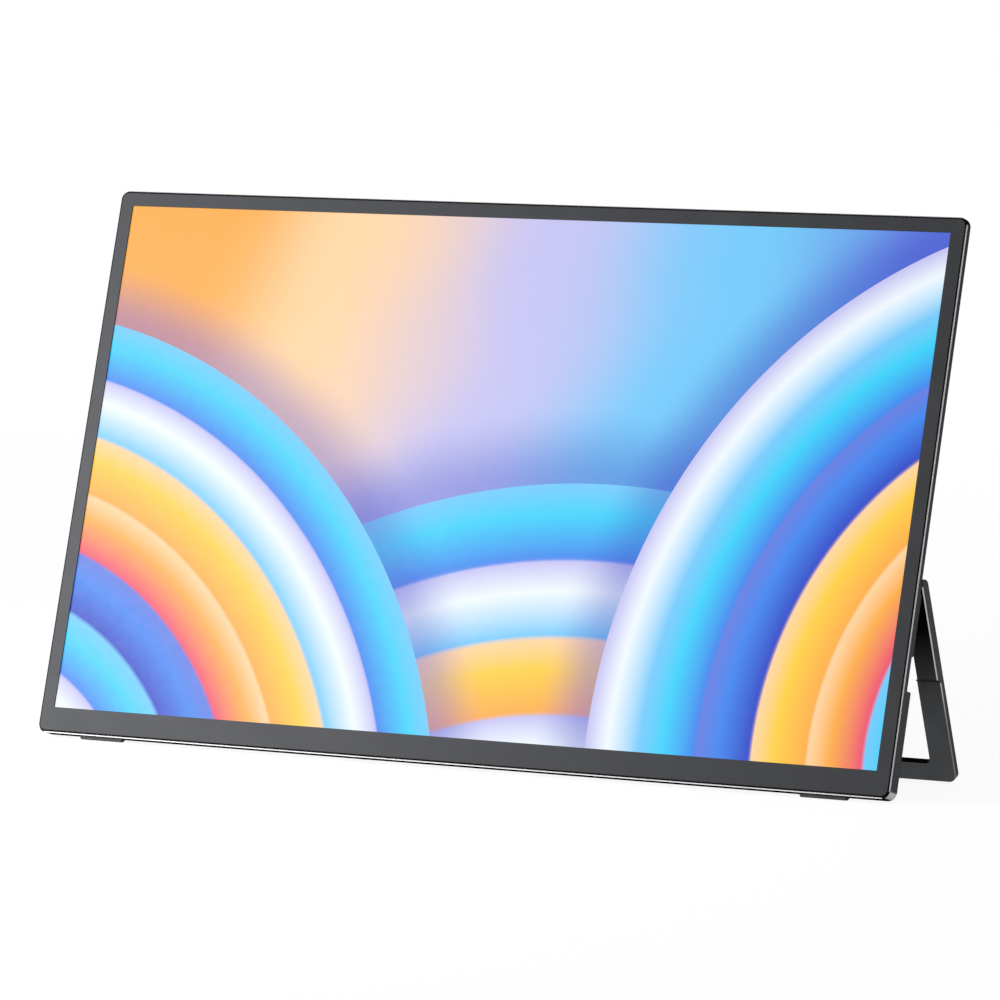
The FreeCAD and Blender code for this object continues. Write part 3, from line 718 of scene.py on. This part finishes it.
lower = [screw.verts.new((place.x, head_top - cross_depth, place.z)) for place in cross_outline]
join_rings(screw, upper, lower)
screw.faces.new(lower)
head_edges = ring_edges(screw, rings[-1]) + ring_edges(screw, upper)
bmesh.ops.triangle_fill(screw, use_beauty=True, edges=head_edges)
screw_places = []
for side in (-1, 1):
    for across in screw_columns:
        screw_places.append((side * across, head_seat, screw_top))
    for height in screw_rows:
        screw_places.append((side * screw_side, head_seat, height))
screws = set_on_display("cover_screw_set", screw, screw_places, screw_steel)
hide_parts("cover_screws")


# Feet: two round-ended pads of black rubber pressed into the bottom wall. They are cut
# level with the table, and their lower edges are bevelled.
foot_rubber = grained("foot_rubber", linear(36, 36, 38), linear(46, 46, 48), rough=(0.62, 0.78),
                      patch=0.002, grain=0.00025, depth=0.00003)
dress(foot_rubber, "foot_left", "foot_right")


# Hinges: pressed steel brackets riveted to the cover. Each carries a barrel that the
# stand's pin turns in, with a bronze friction washer against the leg.
hinge_steel = grained("hinge_steel", linear(70, 71, 74), linear(86, 87, 90), rough=(0.3, 0.42),
                      patch=0.003, grain=0.0003, depth=0.00001, metallic=1.0)
dress(hinge_steel, "hinge_bracket_left", "hinge_bracket_right")
washer_bronze = grained("washer_bronze", linear(150, 112, 62), linear(172, 132, 78), rough=(0.26, 0.36),
                        patch=0.001, grain=0.0002, depth=0.00001, metallic=1.0)
dress(washer_bronze, "friction_washer_left", "friction_washer_right")
rivet_sides = 32
rivet_radius = 1.7
rivet_shank = 0.9
rivet_length = 1.9
rivet_edge = 0.08
rivet_dome = 0.42
dome_steps = 6
rivet_seat = 5.1
rivet_rows = (67.25, 84.25)
rivet_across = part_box("hinge_rivets")[1][0] / millimetre - rivet_radius
rivet_outline = [(rivet_shank, -rivet_length), (rivet_shank, 0.0), (rivet_radius, 0.0),
                 (rivet_radius, rivet_edge)]
for step in range(1, dome_steps):
    turn = math.pi / 2 * step / dome_steps
    rivet_outline.append((rivet_radius * math.cos(turn), rivet_edge + rivet_dome * math.sin(turn)))
rivet = bmesh.new()
rings = turned_rings(rivet, rivet_outline, rivet_sides)
rivet.faces.new(rings[0])
rivet.faces.new(rings[-1])
rivet_places = [(side * rivet_across, rivet_seat, height) for side in (-1, 1) for height in rivet_rows]
rivets = set_on_display("hinge_rivet_set", rivet, rivet_places, screw_steel)
for face in rivets.data.polygons:
    face.use_smooth = True
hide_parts("hinge_rivets")


# Buttons on the back: a round power button held by its flange and a long menu rocker on two
# pins, both moulded in black. Small raised marks let a finger find them.
button_black = grained("button_black", linear(34, 34, 36), linear(42, 42, 44), rough=(0.4, 0.5),
                       patch=0.003, grain=0.0003, depth=0.00002)
dress(button_black, "power_button", "menu_rocker")
mark_radius = 0.5
mark_rise = 0.14
mark_steps = 5
mark_sides = 20
mark_outline = []
for step in range(mark_steps):
    turn = math.pi / 2 * step / mark_steps
    mark_outline.append((mark_radius * math.cos(turn), mark_rise * math.sin(turn)))
button_face = 8.28
button_height = 23.15
power_across = -170.0
rocker_across = -140.0
rocker_reach = 5.2
power_marks = [(power_across, button_face, button_height)]
rocker_marks = [(rocker_across, button_face, button_height + side * rocker_reach) for side in (-1, 1)]
for name, body, marks in (("power_touch_mark", "power", power_marks),
                          ("rocker_touch_marks", "rocker", rocker_marks)):
    dome = bmesh.new()
    rings = turned_rings(dome, mark_outline, mark_sides)
    dome.faces.new(rings[0])
    dome.faces.new(rings[-1])
    set_on_display(name, dome, marks, button_black, body)


# Stand: a U of cast metal, dark anodised, with bevels along its outer front edges that
# are cut afterwards and polished. Its pins, clips and rubber strip are fitted to it.
# Heights on it are in metres above the table.
stand_slope = math.radians(-18.734)
stand_dark = linear(65, 66, 68)
stand_light = linear(72, 73, 75)
lit_side_dark = linear(75, 76, 78)
lit_side_light = linear(82, 83, 85)
stand_bevel = linear(176, 176, 175)
stand_bevel_shaded = linear(112, 112, 112)
stand_edge_shade = (0.45, 0.45, 0.45, 1.0)
stand_rough = 0.42
stand_patch = 0.01
stand_grain = 0.00025
stand_relief = 0.000006
faces_up = (0.35, 0.6)
faces_up_little = (0.1, 0.3)
faces_straight_front = (0.8, 0.95)
bevel_begins = (0.5, 0.68)
bevel_ends = (0.8, 0.95)
faces_straight_side = (0.95, 0.99)
bar_top = (0.02, 0.03)
step_in_leg = (0.03, 0.05)
lower_leg = (0.02, 0.055)
below_hinge = (0.050, 0.072)
hinge_shade_depth = 0.9
stand_metal, tree, shader = start_finish("stand_metal", metallic=1.0)
shader.inputs["Specular Tint"].default_value = stand_edge_shade
place = piece_place(tree)
spot = axes_of(tree, place)
facing = piece_normal(tree, stand_slope)
sideways = sums(tree, "ABSOLUTE", facing["X"])
outward = sums(tree, "GREATER_THAN", product(tree, spot["X"], facing["X"]), 0.0)
# Painted shade: the top of the bar and the front faces just below the hinge are painted near-black.
bar_top_shade = product(tree, rising(tree, facing["Z"], faces_up), falling(tree, spot["Z"], bar_top))
frontal = rising(tree, opposite(tree, facing["Y"]), faces_straight_front)
hinge_shade = product(tree, frontal, between(tree, spot["Z"], 0.0, hinge_shade_depth, *below_hinge))
slanted = product(tree, rising(tree, sideways, bevel_begins), falling(tree, sideways, bevel_ends))
straight = product(tree, outward, falling(tree, facing["Z"], faces_up_little))
bevel = product(tree, slanted, straight)
# Painted shade: the polished bevel is painted dimmer on the lower leg than above it.
bevel_metal = mixed(tree, rising(tree, spot["Z"], lower_leg), stand_bevel_shaded, stand_bevel)
# Painted light: the outer side walls of the upper legs get a lighter copy of the stand's colour.
upper_side = product(tree, outward, rising(tree, spot["Z"], step_in_leg))
side = product(tree, upper_side, rising(tree, sideways, faces_straight_side))
patches = cloud(tree, place, stand_patch)
wall = mottled(tree, patches, stand_dark, stand_light)
wall = mixed(tree, side, wall, mottled(tree, patches, lit_side_dark, lit_side_light))
wall = mixed(tree, larger(tree, bar_top_shade, hinge_shade), wall, painted_shade_black)
tree.links.new(mixed(tree, bevel, wall, bevel_metal), shader.inputs["Base Color"])
tree.links.new(between(tree, bevel, stand_rough, polish_rough), shader.inputs["Roughness"])
roughen(tree, shader, cloud(tree, place, stand_grain), stand_relief)
dress(stand_metal, "stand_frame")
dress(foot_rubber, "stand_strip")
dress(hinge_steel, "hinge_pin_left", "hinge_pin_right", "retaining_clip_left", "retaining_clip_right")


# Floor and room: a wide white floor that keeps the shadow, under white air. Both are plain
# white where they are seen, and light the part at a lower level. Sizes here are in metres.
floor_half = 6.0
floor_grey = (0.88, 0.88, 0.88, 1.0)
floor_rough = 0.9
glow_near = 0.91
glow_span = (0.25, 1.2)
room_light = 0.46


def seen_directly(tree):
    """1 where the background is seen straight on, in a mirror or through glass."""
    path = tree.nodes.new("ShaderNodeLightPath")
    seen = larger(tree, path.outputs["Is Camera Ray"], path.outputs["Is Glossy Ray"])
    return larger(tree, seen, path.outputs["Is Transmission Ray"])


floor_white, tree, shader = start_finish("floor_white")
shader.inputs["Base Color"].default_value = floor_grey
shader.inputs["Roughness"].default_value = floor_rough
glow = tree.nodes.new("ShaderNodeEmission")
blend = tree.nodes.new("ShaderNodeMixShader")
spot = axes_of(tree, piece_place(tree))
away = larger(tree, sums(tree, "ABSOLUTE", spot["X"]), sums(tree, "ABSOLUTE", spot["Y"]))
glow_share = between(tree, away, glow_near, 1.0, *glow_span)
tree.links.new(product(tree, seen_directly(tree), glow_share), blend.inputs["Fac"])
tree.links.new(shader.outputs["BSDF"], blend.inputs[1])
tree.links.new(glow.outputs["Emission"], blend.inputs[2])
tree.links.new(blend.outputs["Shader"], tree.nodes["Material Output"].inputs["Surface"])
floor_corners = [(-floor_half, -floor_half, 0), (floor_half, -floor_half, 0), (floor_half, floor_half, 0),
                 (-floor_half, floor_half, 0)]
floor_mesh = bpy.data.meshes.new("floor")
floor_mesh.from_pydata(floor_corners, [], [(0, 1, 2, 3)])
floor_mesh.materials.append(floor_white)
floor = bpy.data.objects.new("floor", floor_mesh)
bpy.context.scene.collection.objects.link(floor)

room = bpy.data.worlds.new("room")
room.use_nodes = True
bpy.context.scene.world = room
tree = room.node_tree
air = tree.nodes["Background"]
air.inputs["Color"].default_value = (1.0, 1.0, 1.0, 1.0)
tree.links.new(between(tree, seen_directly(tree), room_light, 1.0), air.inputs["Strength"])


# Lights: one soft lamp close by on the left and a wide one overhead, with a grey card on the
# right that keeps that side of the metal darker. Three black flags show only in the metal, as
# the dark line along its left and top edges and the darker upper part of its right wall.
def soft_lamp(name, place, aim, size, power):
    """A soft lamp of (width, height), turned towards a place."""
    lamp = bpy.data.lights.new(name, "AREA")
    lamp.shape = "RECTANGLE"
    lamp.size, lamp.size_y = size
    lamp.energy = power
    holder = bpy.data.objects.new(name, lamp)
    holder.location = place
    holder.rotation_euler = (Vector(aim) - Vector(place)).to_track_quat("-Z", "Y").to_euler()
    bpy.context.scene.collection.objects.link(holder)


def studio_card(name, corners, finish):
    """A flat card that lights or shades the metal without being in the picture."""
    mesh = bpy.data.meshes.new(name)
    mesh.from_pydata(corners, [], [(0, 1, 2, 3)])
    mesh.materials.append(finish)
    card = bpy.data.objects.new(name, mesh)
    bpy.context.scene.collection.objects.link(card)
    card.visible_camera = False
    return card


soft_lamp("left_lamp", place=(-0.55, -0.50, 0.28), aim=(-0.15, 0.0, 0.12), size=(0.35, 0.4), power=10.8)
soft_lamp("top_lamp", place=(0.0, 0.1, 1.8), aim=(0.0, 0.0, 0.0), size=(1.6, 1.6), power=12.0)
card_grey = grained("card_grey", linear(186, 186, 186), linear(194, 194, 194), rough=(0.8, 0.9),
                    patch=0.1, grain=0.002, depth=0.0001)
grey_card = [(1.2, -1.6, 0.0), (1.2, 0.3, 0.0), (1.2, 0.3, 1.2), (1.2, -1.6, 1.2)]
studio_card("grey_card", grey_card, card_grey)
card_black = grained("card_black", linear(20, 20, 20), linear(26, 26, 26), rough=(0.8, 0.9),
                     patch=0.1, grain=0.002, depth=0.0001)
side_flag = [(-1.07, 0.1, 0.0), (-1.07, 0.95, 0.0), (-1.07, 0.95, 0.6), (-1.07, 0.1, 0.6)]
top_flag = [(-1.25, 0.15, 1.24), (-0.05, 0.15, 1.24), (-0.05, 1.0, 1.24), (-1.25, 1.0, 1.24)]
back_flag = [(0.45, 0.86, 0.03), (1.2, 0.86, 0.03), (1.2, 0.86, 0.4), (0.45, 0.86, 0.4)]
for name, corners in (("side_flag", side_flag), ("top_flag", top_flag), ("back_flag", back_flag)):
    flag = studio_card(name, corners, card_black)
    flag.visible_diffuse = False
    flag.visible_shadow = False


# Camera: a long lens at the photograph's angle, to the right of the screen and a little
# above it, aimed at the middle of the part and rolled by a trace.
aim = Vector((0.00453, -0.00021, 0.11311))
distance = 2.8871
azimuth = math.radians(29.859)
elevation = math.radians(6.693)
roll = math.radians(-0.57)
ahead = Vector((-math.sin(azimuth) * math.cos(elevation), math.cos(azimuth) * math.cos(elevation),
                -math.sin(elevation)))
level = Vector((math.cos(azimuth), math.sin(azimuth), 0))
right = level * math.cos(roll) + level.cross(ahead) * math.sin(roll)
upwards = right.cross(ahead)
lens = bpy.data.cameras.new("camera")
lens.lens = 239.62
lens.sensor_width = 36.0
lens.sensor_fit = "HORIZONTAL"
lens.clip_end = 50.0
camera = bpy.data.objects.new("camera", lens)
turn = Matrix((right, upwards, -ahead)).transposed().to_4x4()
camera.matrix_world = Matrix.Translation(aim - ahead * distance) @ turn
bpy.context.scene.collection.objects.link(camera)
bpy.context.scene.camera = camera
